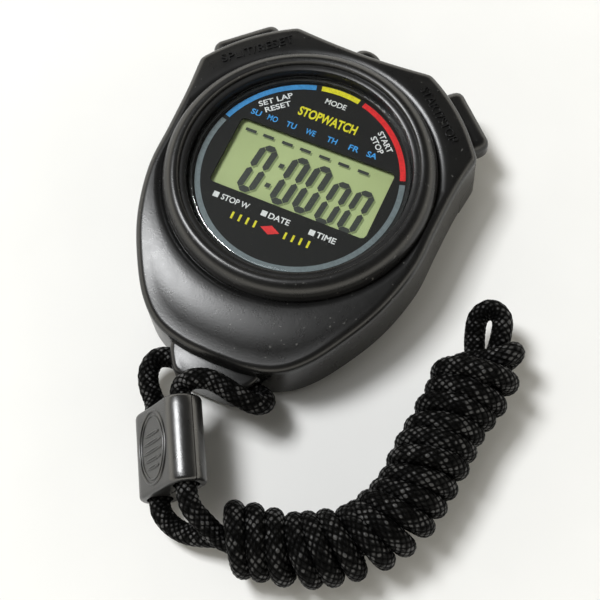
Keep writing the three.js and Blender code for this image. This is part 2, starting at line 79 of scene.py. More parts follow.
def add_node(tree, kind, inputs=None, **settings):
    node = tree.nodes.new(kind)
    for key, value in settings.items():
        setattr(node, key, value)
    for key, value in (inputs or {}).items():
        node.inputs[key].default_value = value
    return node


def noise(tree, scale, detail=3.0, rough=0.5, stretch=None):
    """A noise texture on the object's own coordinates; scale is in features per metre."""
    place = add_node(tree, "ShaderNodeTexCoord")
    texture = add_node(tree, "ShaderNodeTexNoise", {"Scale": scale, "Detail": detail, "Roughness": rough})
    source = place.outputs["Object"]
    if stretch:
        mapping = add_node(tree, "ShaderNodeMapping")
        mapping.inputs["Scale"].default_value = stretch
        tree.links.new(source, mapping.inputs["Vector"])
        source = mapping.outputs["Vector"]
    tree.links.new(source, texture.inputs["Vector"])
    return texture.outputs["Fac"]


def ramp(tree, value, stops):
    """Colours along a value, from (place, colour) stops."""
    node = add_node(tree, "ShaderNodeValToRGB")
    elements = node.color_ramp.elements
    while len(elements) < len(stops):
        elements.new(0.5)
    for element, (place, colour) in zip(elements, stops):
        element.position = place
        element.color = (*colour, 1)
    tree.links.new(value, node.inputs["Fac"])
    return node.outputs["Color"]


def spread(tree, value, low, high):
    """Takes a noise's middle range to the range from low to high."""
    limits = {"From Min": 0.3, "From Max": 0.7, "To Min": low, "To Max": high}
    node = add_node(tree, "ShaderNodeMapRange", limits)
    tree.links.new(value, node.inputs["Value"])
    return node.outputs["Result"]


def bump(tree, heights, shader):
    """Chains (height, strength, distance in mm) into the shader's normal."""
    last = None
    for height, strength, distance in heights:
        node = add_node(tree, "ShaderNodeBump", {"Strength": strength, "Distance": distance * MM})
        tree.links.new(height, node.inputs["Height"])
        if last is not None:
            tree.links.new(last, node.inputs["Normal"])
        last = node.outputs["Normal"]
    tree.links.new(last, shader.inputs["Normal"])


def grey(level):
    return (level, level, level)


def moulded(name, dark, light, rough, grain=2600, relief=0.25, dust=0.0, specular=0.5):
    """Moulded plastic: cloudy tone, fine spark-eroded grain, uneven gloss and a few specks of dust."""
    material, tree, shader = new_material(name)
    cloud = noise(tree, 90, 5, 0.6)
    fine = noise(tree, grain, 2, 0.6)
    colour = ramp(tree, cloud, [(0.32, dark), (0.68, light)])
    if dust:
        specks = noise(tree, 1300, 1, 0.4)
        mask = ramp(tree, specks, [(0.735, grey(0)), (0.775, grey(dust))])
        mix = add_node(tree, "ShaderNodeMix", data_type="RGBA")
        tree.links.new(mask, mix.inputs["Factor"])
        tree.links.new(colour, mix.inputs[6])
        mix.inputs[7].default_value = (0.22, 0.22, 0.21, 1)
        colour = mix.outputs[2]
    tree.links.new(colour, shader.inputs["Base Color"])
    gloss = noise(tree, 420, 4, 0.65)
    tree.links.new(spread(tree, gloss, rough[0], rough[1]), shader.inputs["Roughness"])
    shader.inputs["Specular IOR Level"].default_value = specular
    bump(tree, [(noise(tree, 260, 2, 0.5), 0.035, 0.12), (fine, relief, 0.05)], shader)
    return material


def metal(name, dark, light, rough, brush=(900, 60, 60), strength=0.18):
    """Bare metal with fine streaks along one direction."""
    material, tree, shader = new_material(name)
    streak = noise(tree, 1, 4, 0.7, brush)
    tree.links.new(ramp(tree, streak, [(0.3, dark), (0.7, light)]), shader.inputs["Base Color"])
    tree.links.new(spread(tree, streak, rough[0], rough[1]), shader.inputs["Roughness"])
    shader.inputs["Metallic"].default_value = 1.0
    bump(tree, [(streak, strength, 0.02)], shader)
    return material


def printed(name, colour, vary=0.12, rough=(0.34, 0.5), specular=0.4):
    """Screen-printed ink: nearly even, with the faint mottle of ink on plastic."""
    material, tree, shader = new_material(name)
    low = tuple(c * (1 - vary) for c in colour)
    high = tuple(min(1, c * (1 + vary)) for c in colour)
    mottle = noise(tree, 1800, 3, 0.6)
    tree.links.new(ramp(tree, mottle, [(0.35, low), (0.65, high)]), shader.inputs["Base Color"])
    tree.links.new(spread(tree, mottle, *rough), shader.inputs["Roughness"])
    shader.inputs["Specular IOR Level"].default_value = specular
    bump(tree, [(mottle, 0.08, 0.02)], shader)
    return material


def glassy(name):
    """Clear moulded window: lets light straight through and mirrors by angle, with a faint haze."""
    material, tree, shader = new_material(name)
    output = tree.nodes["Material Output"]
    clear = add_node(tree, "ShaderNodeBsdfTransparent", {"Color": (0.97, 0.98, 0.975, 1)})
    gloss = add_node(tree, "ShaderNodeBsdfGlossy", {"Color": (1, 1, 1, 1)})
    tree.links.new(spread(tree, noise(tree, 700, 3), 0.05, 0.09), gloss.inputs["Roughness"])
    angle = add_node(tree, "ShaderNodeFresnel", {"IOR": 1.46})
    mix = add_node(tree, "ShaderNodeMixShader")
    tree.links.new(angle.outputs[0], mix.inputs[0])
    tree.links.new(clear.outputs[0], mix.inputs[1])
    tree.links.new(gloss.outputs[0], mix.inputs[2])
    tree.links.new(mix.outputs[0], output.inputs["Surface"])
    tree.nodes.remove(shader)
    return material


def figure(tree, operation, first, second=None):
    """One math node; each input is a number or another node's output."""
    node = add_node(tree, "ShaderNodeMath", operation=operation)
    for socket, value in zip(node.inputs, (first, second)):
        if isinstance(value, (int, float)):
            socket.default_value = value
        elif value is not None:
            tree.links.new(value, socket)
    return node.outputs[0]


BRAID_CARRIERS = 9
BRAID_PITCH = 0.66  # half the length of one crossing


def braid_height(tree):
    """Height of a one-over-one braid; the attribute wrap holds (cosine, sine, mm along the cord)."""
    wrap = add_node(tree, "ShaderNodeAttribute", attribute_name="wrap")
    parts = add_node(tree, "ShaderNodeSeparateXYZ")
    tree.links.new(wrap.outputs["Vector"], parts.inputs["Vector"])
    around = figure(tree, "ARCTAN2", parts.outputs["Y"], parts.outputs["X"])
    around = figure(tree, "MULTIPLY", around, BRAID_CARRIERS / (2 * math.pi))
    along = figure(tree, "MULTIPLY", parts.outputs["Z"], 1 / (2 * BRAID_PITCH))
    place = []
    cell = []
    for yarn in (figure(tree, "ADD", around, along), figure(tree, "SUBTRACT", around, along)):
        cell.append(figure(tree, "FLOOR", yarn))
        offset = figure(tree, "FRACT", yarn)
        offset = figure(tree, "SUBTRACT", figure(tree, "MULTIPLY", offset, 2.0), 1.0)
        place.append(figure(tree, "MULTIPLY", offset, offset))
    odd = figure(tree, "FRACT", figure(tree, "MULTIPLY", figure(tree, "ADD", *cell), 0.5))
    odd = figure(tree, "GREATER_THAN", odd, 0.25)
    swap = figure(tree, "MULTIPLY", odd, figure(tree, "SUBTRACT", place[1], place[0]))
    across = figure(tree, "ADD", place[0], swap)
    lengthways = figure(tree, "SUBTRACT", place[1], swap)
    round_yarn = figure(tree, "SQRT", figure(tree, "SUBTRACT", 1.0, across))
    dip = figure(tree, "MULTIPLY", lengthways, 0.6)
    return figure(tree, "MULTIPLY", round_yarn, figure(tree, "SUBTRACT", 1.0, dip))


def braided(name):
    """Braided cord: black yarns with a painted highlight on their crests, made uneven by noise, slight
    painted shade in the dips between yarns, glossier crests and fine fibres.
    """
    material, tree, shader = new_material(name)
    height = braid_height(tree)
    fibre = noise(tree, 5200, 2, 0.7)
    # Noise that makes the painted crest highlights uneven from place to place.
    glint_noise = noise(tree, 620, 1, 0.5)
    glint_scatter = figure(tree, "ADD", figure(tree, "MULTIPLY", glint_noise, 2.2), -0.25)
    lit = figure(tree, "MULTIPLY", height, glint_scatter)
    # Base colour: painted shade, nearly black, in the dips; it rises to a painted highlight on the crests
    # where lit is high.
    tone = ramp(tree, lit, [(0.3, grey(0.0015)), (0.74, grey(0.004)), (1.0, grey(0.04))])
    tree.links.new(tone, shader.inputs["Base Color"])
    tree.links.new(spread(tree, fibre, 0.34, 0.5), shader.inputs["Roughness"])
    gleam = ramp(tree, lit, [(0.4, grey(0.02)), (0.75, grey(0.06)), (1.0, grey(0.3))])
    tree.links.new(gleam, shader.inputs["Specular IOR Level"])
    bump(tree, [(height, 0.8, 0.28), (fibre, 0.35, 0.05)], shader)
    return material


BLACK = moulded("case_plastic", grey(0.0045), grey(0.0072), (0.265, 0.305), dust=0.3, specular=0.45)
GLOSS_BLACK = moulded("slider_plastic", grey(0.006), grey(0.009), (0.26, 0.34), grain=1900, relief=0.3,
                      specular=0.9)
RUBBER = moulded("rubber", grey(0.010), grey(0.016), (0.72, 0.9), relief=0.35)
DIAL = printed("dial_ink_black", grey(0.0045), rough=(0.5, 0.62), specular=0.2)
CORD = braided("cord_braid")
GLASS = glassy("lens_clear")


# ---- mesh helpers
def link(name, data, body, material):
    """A new piece that rides on a body and wears a material."""
    piece = bpy.data.objects.new(name, data)
    bpy.context.scene.collection.objects.link(piece)
    data.materials.append(material)
    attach(piece, body)
    return piece


def add_solid(name, shape, body, material, smooth=True):
    """A new piece from its points and faces."""
    return link(name, mesh_from(name, *shape, smooth), body, material)


def mesh_from(name, points, faces, smooth=True):
    """A mesh from points in millimetres, with its normals facing out."""
    data = bpy.data.meshes.new(name)
    data.from_pydata((np.asarray(points, float) * MM).tolist(), [], [list(f) for f in faces])
    data.validate()
    shell = bmesh.new()
    shell.from_mesh(data)
    bmesh.ops.recalc_face_normals(shell, faces=shell.faces)
    shell.to_mesh(data)
    shell.free()
    if smooth:
        data.shade_smooth()
    return data


def crease(piece, degrees):
    """Keeps edges sharper than the angle hard."""
    piece.data.set_sharp_from_angle(angle=math.radians(degrees))


def cut_with(piece, cutters):
    """Takes the cutters' meshes out of the piece."""
    for cutter in cutters:
        tool = bpy.data.objects.new("cutter", cutter)
        bpy.context.scene.collection.objects.link(tool)
        step = piece.modifiers.new("cut", "BOOLEAN")
        step.operation = "DIFFERENCE"
        step.solver = "EXACT"
        step.object = tool
        applied(piece)
        bpy.data.objects.remove(tool)


def applied(piece):
    """Applies a piece's modifiers to its mesh."""
    bpy.context.view_layer.update()
    whole = piece.evaluated_get(bpy.context.evaluated_depsgraph_get())
    data = bpy.data.meshes.new_from_object(whole)
    piece.modifiers.clear()
    piece.data = data


def grid_faces(rows, columns, wrap_rows=False):
    """Quads between rows of points that each close on themselves."""
    faces = []
    for row in range(rows if wrap_rows else rows - 1):
        after = (row + 1) % rows
        for i in range(columns):
            j = (i + 1) % columns
            faces.append((row * columns + i, row * columns + j, after * columns + j, after * columns + i))
    return faces


def closed_rows(rows, wrap=False):
    """Points and faces of a stack of closed rows; the last joins the first, or both get an end face."""
    columns = len(rows[0])
    points = np.vstack(rows)
    faces = grid_faces(len(rows), columns, wrap)
    if not wrap:
        faces.append(tuple(range(columns)))
        faces.append(tuple(len(points) - 1 - i for i in range(columns)))
    return points, faces


def turned(profile, sides=160):
    """Rows of a turned shape about +Z from [radius, height] pairs."""
    angle = np.linspace(0, 2 * math.pi, sides, endpoint=False)
    rows = [np.column_stack([r * np.cos(angle), r * np.sin(angle), np.full(sides, z)]) for r, z in profile]
    return closed_rows(rows)


def unit(vectors):
    """Each row scaled to length one."""
    return vectors / np.linalg.norm(vectors, axis=1)[:, None]


def at_height(points, height):
    """Flat points lifted to one height, or each to its own."""
    return np.column_stack([points, np.broadcast_to(height, len(points))])


def box(x, y, half_wide, half_high):
    """Outline of a rectangle about its middle."""
    return np.array([[x - half_wide, y - half_high], [x + half_wide, y - half_high],
                     [x + half_wide, y + half_high], [x - half_wide, y + half_high]])


def drum(x, y, radius, low, high, sides=48):
    """Points and faces of an upright cylinder."""
    points, faces = turned([[radius, low], [radius, high]], sides)
    return points + np.array([x, y, 0]), faces


def rounded_rectangle(width, height, radius, steps):
    """Outline with a number of steps in each corner."""
    points = []
    for sx, sy, start in [(1, -1, -90), (1, 1, 0), (-1, 1, 90), (-1, -1, 180)]:
        for i in range(steps + 1):
            angle = math.radians(start + 90 * i / steps)
            points.append((sx * (width / 2 - radius) + radius * math.cos(angle),
                           sy * (height / 2 - radius) + radius * math.sin(angle)))
    return np.array(points)


def spline(points, step):
    """Evenly spaced points on the centripetal Catmull-Rom curve through the given ones."""
    p = np.array(points, float)
    p = np.vstack([2 * p[0] - p[1], p, 2 * p[-1] - p[-2]])
    dense = []
    for p0, p1, p2, p3 in zip(p, p[1:], p[2:], p[3:]):
        t1 = np.linalg.norm(p1 - p0) ** 0.5
        t2 = t1 + np.linalg.norm(p2 - p1) ** 0.5
        t3 = t2 + np.linalg.norm(p3 - p2) ** 0.5
        t = np.linspace(t1, t2, 24, endpoint=False)[:, None]
        a1 = (t1 - t) / t1 * p0 + t / t1 * p1
        a2 = (t2 - t) / (t2 - t1) * p1 + (t - t1) / (t2 - t1) * p2
        a3 = (t3 - t) / (t3 - t2) * p2 + (t - t2) / (t3 - t2) * p3
        b1 = (t2 - t) / t2 * a1 + t / t2 * a2
        b2 = (t3 - t) / (t3 - t1) * a2 + (t - t1) / (t3 - t1) * a3
        dense.append((t2 - t) / (t2 - t1) * b1 + (t - t1) / (t2 - t1) * b2)
    dense.append(p[-2:-1])
    return resample(np.vstack(dense), step)


def resample(points, step):
    """Evenly spaced points along straight lines between the given ones."""
    lengths = np.concatenate([[0], np.cumsum(np.linalg.norm(np.diff(points, axis=0), axis=1))])
    count = max(2, int(round(lengths[-1] / step)) + 1)
    at = np.linspace(0, lengths[-1], count)
    return np.column_stack([np.interp(at, lengths, points[:, k]) for k in range(points.shape[1])])


def carried_frames(line):
    """Two directions across a line at each point, carried along it without twist."""
    along = unit(np.gradient(line, axis=0))
    side = np.cross(along[0], [0.3, 0.2, 1])
    side /= np.linalg.norm(side)
    sides = []
    for direction in along:
        side = side - direction * np.dot(side, direction)
        side /= np.linalg.norm(side)
        sides.append(side)
    sides = np.array(sides)
    return sides, np.cross(along, sides)


# ---- cord
CORD_D = 4.2
SLIDER_AT = np.array([-0.1, -58, 7.8])
SLIDER_HEADING = math.radians(-60)
SLIDER_ROLL = math.radians(53)
SLIDER_ALONG = np.array([math.cos(SLIDER_HEADING), math.sin(SLIDER_HEADING), 0])
SLIDER_ACROSS = np.array([-math.sin(SLIDER_HEADING) * math.cos(SLIDER_ROLL),
                          math.cos(SLIDER_HEADING) * math.cos(SLIDER_ROLL), math.sin(SLIDER_ROLL)])
SLIDER_FACE = np.cross(SLIDER_ALONG, SLIDER_ACROSS)
STRAND_GAP = 4.9  # each strand's distance from the slider's middle


def through_slider(side):
    """Points of a strand's straight stretch, on the side -1 or 1 of the slider's middle."""
    middle = SLIDER_AT + SLIDER_ACROSS * side * STRAND_GAP
    return [list(middle + SLIDER_ALONG * reach) for reach in (-10.8, -7.5, 0, 7.5, 10.2)]


LEFT_STRAND = [
    [-0.2, -41.3, 6], [-4.5, -41.3, 6], [-8.9, -41.3, 6], [-11.3, -42.5, 5.9], [-11.6, -45.2, 5.3],
    [-10.4, -47.7, 4.5], *through_slider(-1), [4.7, -69.7, 3.7], [7.4, -70.3, 3.8], [10, -70.2, 4.3],
    [12.4, -69.9, 4.8]]
RIGHT_STRAND = [
    [0.2, -41.3, 6], [4.5, -41.3, 6], [8.8, -41.3, 6], [11.3, -41.6, 6.4], [12.2, -42.9, 7.7],
    [10.9, -44.3, 9.6], [8, -44.6, 11.3], [4.9, -44.3, 12.3], [1.8, -44.2, 12.8], [-0.9, -45.2, 12.8],
    *through_slider(1), [9.2, -67, 11.2], [11, -67.8, 10.4], [12.8, -68.3, 9.9]]
HANK_Z = 7.4
HANK_LINE = [[x, y, HANK_Z] for x, y in [
    (15.2, -68.7), (17.5, -68.2), (21.8, -67.1), (25.6, -66.4), (29.2, -65.5), (33, -63.5), (36.1, -61.3),
    (39, -58.9), (41.1, -55.8), (42.7, -52.2), (43.7, -48.2), (44.1, -44.4), (44.3, -40.7), (44.5, -36.7),
    (44.8, -32.6), (45.4, -28.8), (46, -25), (46.2, -21.3), (46, -18.2)]]
TURNS = 17
POINTS_A_TURN = 24
WINDING_START = 2.0  # distance along the hank
WINDING_END = 2.4  # distance from the hank's far end
FIRST_ANGLE = math.radians(-110)  # from straight up, around the hank's middle line
WINDING_NEAR_R = 4.85  # middle of the cord, at the end by the slider
WINDING_FAR_R = 5.45
LAST_TURN_BULGE = 0.9
TURN_LEAN = 0.9  # how far a turn leans along the hank on its right side
FLOOR_GAP = 0.1
CORE_R = 1.15  # the covered runs lie this far from the hank's middle line
LOOP_LEAN = math.radians(10)  # the end loop turns this far towards the case
REST_Z = 2.12  # no centre of the cord lies lower
TIGHTEST_R = 2.5  # bends are eased towards this radius
EASING_ROUNDS = 1500
EASING_REACH = 13  # rings that move with a tight one
RING_STEP = 0.28
RING_SIDES = 48
BRAID_DEPTH = 0.16
BRAID_INSET = 0.08  # the crests lie this far inside the declared diameter
HANK_STEP = 0.25

hank = spline(HANK_LINE, HANK_STEP)
hank_length = HANK_STEP * (len(hank) - 1)


def hank_point(distance, out_side, out_up):
    """A point beside the hank's middle line: distance along it, then to its right and up."""
    place = np.clip(distance / hank_length, 0, 1) * (len(hank) - 1)
    low = min(int(place), len(hank) - 2)
    along = hank[low + 1] - hank[low]
    along = along / np.linalg.norm(along)
    beyond = distance - np.clip(distance, 0, hank_length)
    centre = hank[low] + (hank[low + 1] - hank[low]) * (place - low) + along * beyond
    right = np.array([along[1], -along[0], 0])
    return centre + right * out_side + np.array([0, 0, out_up])


def core_run(start, end, angle):
    """A straight run of the cord inside the winding."""
    a = math.radians(angle)
    side, up = CORE_R * math.cos(a), CORE_R * math.sin(a)
    return [hank_point(distance, side, up) for distance in np.linspace(start, end, 14)]


def winding():
    """The wound turns, from the slider's end to the far one, uneven as wound by hand."""
    points = []
    last = hank_length - WINDING_END
    total = TURNS * POINTS_A_TURN
    for i in range(total + 1):
        turn = i / POINTS_A_TURN
        share = i / total
        angle = FIRST_ANGLE + 2 * math.pi * turn
        wander = 0.2 * math.sin(2.3 * turn) + 0.12 * math.sin(5.1 * turn + 1)
        even_r = WINDING_NEAR_R + (WINDING_FAR_R - WINDING_NEAR_R) * share
        radius = even_r + 0.14 * math.sin(1.7 * turn + 0.5)
        radius += LAST_TURN_BULGE * math.exp(-((turn - TURNS + 0.8) / 0.45) ** 2)
        distance = WINDING_START + (last - WINDING_START) * share + wander + TURN_LEAN * math.sin(angle)
        lift = even_r + CORD_D / 2 + FLOOR_GAP - HANK_Z
        points.append(hank_point(distance, radius * math.sin(angle), radius * math.cos(angle) + lift))
    return points


def loop_point(along, side, up):
    """A point of the end loop: beyond the hank's far end, then to its right and up."""
    forward = along * math.cos(LOOP_LEAN) + side * math.sin(LOOP_LEAN)
    across = side * math.cos(LOOP_LEAN) - along * math.sin(LOOP_LEAN)
    return hank_point(hank_length + forward, across, up)


def relaxed(line):
    """Eases the line where it bends tighter than the tightest radius, for a limited number of rounds."""
    for _ in range(EASING_ROUNDS):
        pull = (line[:-2] + line[2:]) / 2 - line[1:-1]
        bend = 2 * np.linalg.norm(pull, axis=1) / RING_STEP ** 2
        tight = (bend > 1 / TIGHTEST_R).astype(float)
        if not tight.any():
            break
        near = np.convolve(tight, np.ones(EASING_REACH), "same") > 0
        line[1:-1][near] += 0.5 * pull[near]
    return line


def cord_line():
    """The cord's middle line, from the lug's left side, through the hank and back to its right side."""
    far = hank_length
    loop = [(-1.0, -1.3, -0.6), (2.0, -2.1, -0.2), (5.0, -2.4, 0.2), (7.8, -2.2, 0.6), (9.9, -0.1, 1.2),
            (8.0, 2.2, 1.4), (5.0, 2.5, 1.2), (2.0, 2.2, 0.6), (-1.0, 1.4, -0.6)]
    knob = [(-0.2, 3.9, 3.4), (1.4, 5.2, 2.6), (2.2, 6.0, 0.8), (1.6, 5.4, -1.2), (0.0, 3.6, -2.0),
            (-1.8, 1.8, -1.4)]
    points = [*LEFT_STRAND[:-1]]
    points += core_run(1.0, far - 3.0, -90)
    points += [loop_point(*p) for p in loop]
    points += core_run(far - 3.0, 5.4, 150)
    points += [hank_point(3.4, -0.9, -1.6), hank_point(1.9, -1.9, -2.7), hank_point(1.3, -3.6, -2.8)]
    points += winding()
    points += [loop_point(*p) for p in knob]
    points += core_run(far - 4.5, 1.5, 30)
    points += RIGHT_STRAND[:-1][::-1]
    line = spline([list(p) for p in points], RING_STEP)
    for _ in range(3):
        line[1:-1] = (line[:-2] + 2 * line[1:-1] + line[2:]) / 4
    line[:, 2] = np.maximum(line[:, 2], REST_Z)
    return relaxed(line)


def braid_relief(around, along):
    """Height from 0 to 1 of a one-over-one braid; around is 0 to 1, along is in mm."""
    one = BRAID_CARRIERS * around + along / (2 * BRAID_PITCH)
    two = BRAID_CARRIERS * around - along / (2 * BRAID_PITCH)
    fa = 2 * (one - np.floor(one)) - 1
    fb = 2 * (two - np.floor(two)) - 1
    even = (np.floor(one) + np.floor(two)) % 2 == 0
    across = np.where(even, fa, fb)
    lengthways = np.where(even, fb, fa)
    return np.sqrt(np.clip(1 - across ** 2, 0, 1)) * (1 - 0.8 * lengthways ** 2)


def make_cord():
    """The neck cord as one tube; its wrap attribute says where each point lies on the braid."""
    line = cord_line()
    side, other = carried_frames(line)
    steps = np.linalg.norm(np.diff(line, axis=0), axis=1)
    along = np.concatenate([[0], np.cumsum(steps)])
    around = np.arange(RING_SIDES) / RING_SIDES
    relief = braid_relief(around[None, :], along[:, None])
    radius = CORD_D / 2 - BRAID_INSET - BRAID_DEPTH + BRAID_DEPTH * relief
    angle = 2 * math.pi * around
    rings = (line[:, None, :] + radius[..., None] * (np.cos(angle)[None, :, None] * side[:, None, :]
             + np.sin(angle)[None, :, None] * other[:, None, :]))
    points, faces = closed_rows(list(rings))
    data = mesh_from("neck_cord", points, faces)
    wrap = np.stack(np.broadcast_arrays(np.cos(angle), np.sin(angle), along[:, None]), axis=-1)
    values = data.attributes.new("wrap", "FLOAT_VECTOR", "POINT")
    values.data.foreach_set("vector", wrap.astype(np.float32).ravel())
    piece = link("neck_cord", data, "case", CORD)
    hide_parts("cord_left_strand", "cord_right_strand", "hank_winding_lower", "hank_winding_upper",
                "hank_end_loop")


# ---- slider
SLIDER_L = 16.4
SLIDER_W = 17.3
SLIDER_T = 7.6
HOLE_R = 2.5
PARTING = 0.07  # half the gap between the two halves
BEAD_SIDES = 10


def on_slider(points):
    """Takes points given along, across and out of the slider to the part's own frame."""
    points = np.asarray(points, float)
    return (SLIDER_AT + points[:, :1] * SLIDER_ALONG + points[:, 1:2] * SLIDER_ACROSS
            + points[:, 2:3] * SLIDER_FACE)


def slider_half(name, node, face):
    """One moulded half: a flat face, full-round edges and two half-round channels for the strands."""
    radius = SLIDER_T / 2
    flat = SLIDER_W / 2 - radius
    outer = []
    for i in range(25):
        angle = math.radians(1 + 89 * i / 24)
        outer.append((flat + radius * math.cos(angle), radius * math.sin(angle)))
    crown = [(flat * (1 - 2 * i / 12), radius) for i in range(1, 12)]
    outer += crown + [(-y, z) for y, z in outer[:25][::-1]]
    channel = []
    for centre in (-STRAND_GAP, STRAND_GAP):
        for i in range(17):
            angle = math.radians(178 - 176 * i / 16)
            channel.append((centre + HOLE_R * math.cos(angle), max(PARTING, HOLE_R * math.sin(angle))))
    outline = np.array(outer + channel)
    outline[:, 1] = np.maximum(outline[:, 1], PARTING)
    outward = np.zeros_like(outline)
    outward[:len(outer)] = 1
    rows = []
    half = SLIDER_L / 2
    levels = [(-half, 0.7), (-half + 0.1, 0.38), (-half + 0.3, 0.14), (-half + 0.7, 0)]
    levels += [(-half + 0.7 + (SLIDER_L - 1.4) * i / 10, 0) for i in range(1, 10)]
    levels += [(-x, d) for x, d in levels[:4][::-1]]
    for x, drop in levels:
        size = np.hypot(outline[:, 0], outline[:, 1])[:, None]
        section = outline * (1 - outward * drop / size)
        rows.append(np.column_stack([np.full(len(section), x), section[:, 0], section[:, 1] * face]))
    points, faces = closed_rows(rows)
    piece = add_solid(name, (on_slider(points), faces), "slider", GLOSS_BLACK)
    crease(piece, 38)
    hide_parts(node)
    return piece


def oval_bead(x, half_along, half_across, radius, steps):
    """A round bead on the slider's face, swept along an oval."""
    turn = np.linspace(0, 2 * math.pi, steps, endpoint=False)
    oval = np.column_stack([x + half_along * np.cos(turn), half_across * np.sin(turn)])
    line = at_height(oval, SLIDER_T / 2)
    along = unit(np.roll(line, -1, axis=0) - np.roll(line, 1, axis=0))
    up = np.tile([0, 0, 1.0], (len(line), 1))
    side = np.cross(along, up)
    angle = np.linspace(0, 2 * math.pi, BEAD_SIDES, endpoint=False)
    rows = [line + radius * (math.cos(a) * side + math.sin(a) * up) for a in angle]
    return np.vstack(rows), grid_faces(BEAD_SIDES, len(line), wrap_rows=True)


def merged(parts):
    """Several (points, faces) as one."""
    points, faces, start = [], [], 0
    for some_points, some_faces in parts:
        points.append(np.asarray(some_points, float))
        faces += [tuple(i + start for i in face) for face in some_faces]
        start += len(some_points)
    return np.vstack(points), faces


def slider_relief():
    """Two raised ovals and plain grip bars on the slider's face."""
    parts = [oval_bead(0, 6.9, 4.75, 0.26, 72), oval_bead(0, 6.0, 4.0, 0.2, 72)]
    for x, reach in [(-2.6, 2.4), (-1.0, 3.0), (0.6, 3.1), (2.2, 2.7), (3.7, 1.9)]:
        parts.append(oval_bead(x, 0.22, reach, 0.2, 28))
    points, faces = merged(parts)
    return add_solid("slider_relief", (on_slider(points), faces), "slider", GLOSS_BLACK)


slider_pieces = [slider_half("slider_front_shell", "slider_front", 1),
                 slider_half("slider_back_shell", "slider_back", -1), slider_relief()]
make_cord()


# ---- case outline
SIDE_POINTS = [[30.1, 17.2], [29.2, 9.5], [28.8, 0], [28.5, -9], [25.9, -19.2], [22.2, -26.9],
               [17.3, -34.2], [12.6, -38], [6.5, -39.8], [0, -40.2]]
STEP_Y = 11  # the parting line is higher beyond this
OUTLINE_STEP = 0.28
TOP_MIDDLE = [0, 30.3]
TOP_CORNER = [14.6, 31.4]
SIDE_CORNER = SIDE_POINTS[0]


def bowed(start, end, bulge):
    """A shallow bow between two points, with its height at the middle."""
    start, end = np.array(start, float), np.array(end, float)
    t = np.linspace(0, 1, 40)[:, None]
    chord = (end - start) / np.linalg.norm(end - start)
    return start + (end - start) * t + np.array([-chord[1], chord[0]]) * 4 * bulge * t * (1 - t)


def blurred(values, spread_mm):
    """Smooths a closed run of points with a Gaussian."""
    reach = int(3 * spread_mm / OUTLINE_STEP) + 1
    offsets = np.arange(-reach, reach + 1)
    weights = np.exp(-0.5 * (offsets * OUTLINE_STEP / spread_mm) ** 2)
    weights /= weights.sum()
    return sum(w * np.roll(values, int(-o), axis=0) for w, o in zip(weights, offsets))


def case_outline():
    """The case from above: the right half and its mirror image, with softened corners."""
    top = bowed(TOP_MIDDLE, TOP_CORNER, -0.28)
    shoulder = bowed(TOP_CORNER, SIDE_CORNER, 1.3)
    side = spline(SIDE_POINTS, 0.3)
    right = np.vstack([top, shoulder[1:], side[1:]])
    left = right[1:-1][::-1] * [-1, 1]
    loop = np.vstack([right, left])[::-1]
    loop = np.vstack([loop, loop[:1]])
    return blurred(resample(loop, OUTLINE_STEP)[:-1], 0.55)


OUTLINE = case_outline()
heading = np.roll(OUTLINE, -1, axis=0) - np.roll(OUTLINE, 1, axis=0)
OUTWARD = unit(blurred(np.column_stack([heading[:, 1], -heading[:, 0]]), 1.1))
UPPER = OUTLINE[:, 1] > STEP_Y
DIRECTION = unit(OUTLINE)
FACE_TOP = 15.42
FACE_FLAT_R = 27
FACE_FALL = 0.018


def offset_row(distance, height):
    """The outline drawn in by a distance."""
    return at_height(OUTLINE - OUTWARD * np.reshape(distance, (-1, 1)), height)


def circle_row(radius, height):
    """A circle with a point in the direction of each of the outline's."""
    return at_height(DIRECTION * np.reshape(radius, (-1, 1)), height)


def face_height(radius):
    """The case's face falls away slightly outside its flat middle."""
    return FACE_TOP - FACE_FALL * np.clip(radius - FACE_FLAT_R, 0, None) ** 2


# ---- front case
EDGE_ROUND = 1.75
SEAM_LOW = 1.5
SEAM_HIGH = 5.9
SEAM_GAP = 0.14
WALL = 1.8
LIP = 0.12
CREASE_R = 28.3  # the face ends here and the groove around the bezel begins
GROOVE_R = 26.75
GROOVE_TOP = 15.3


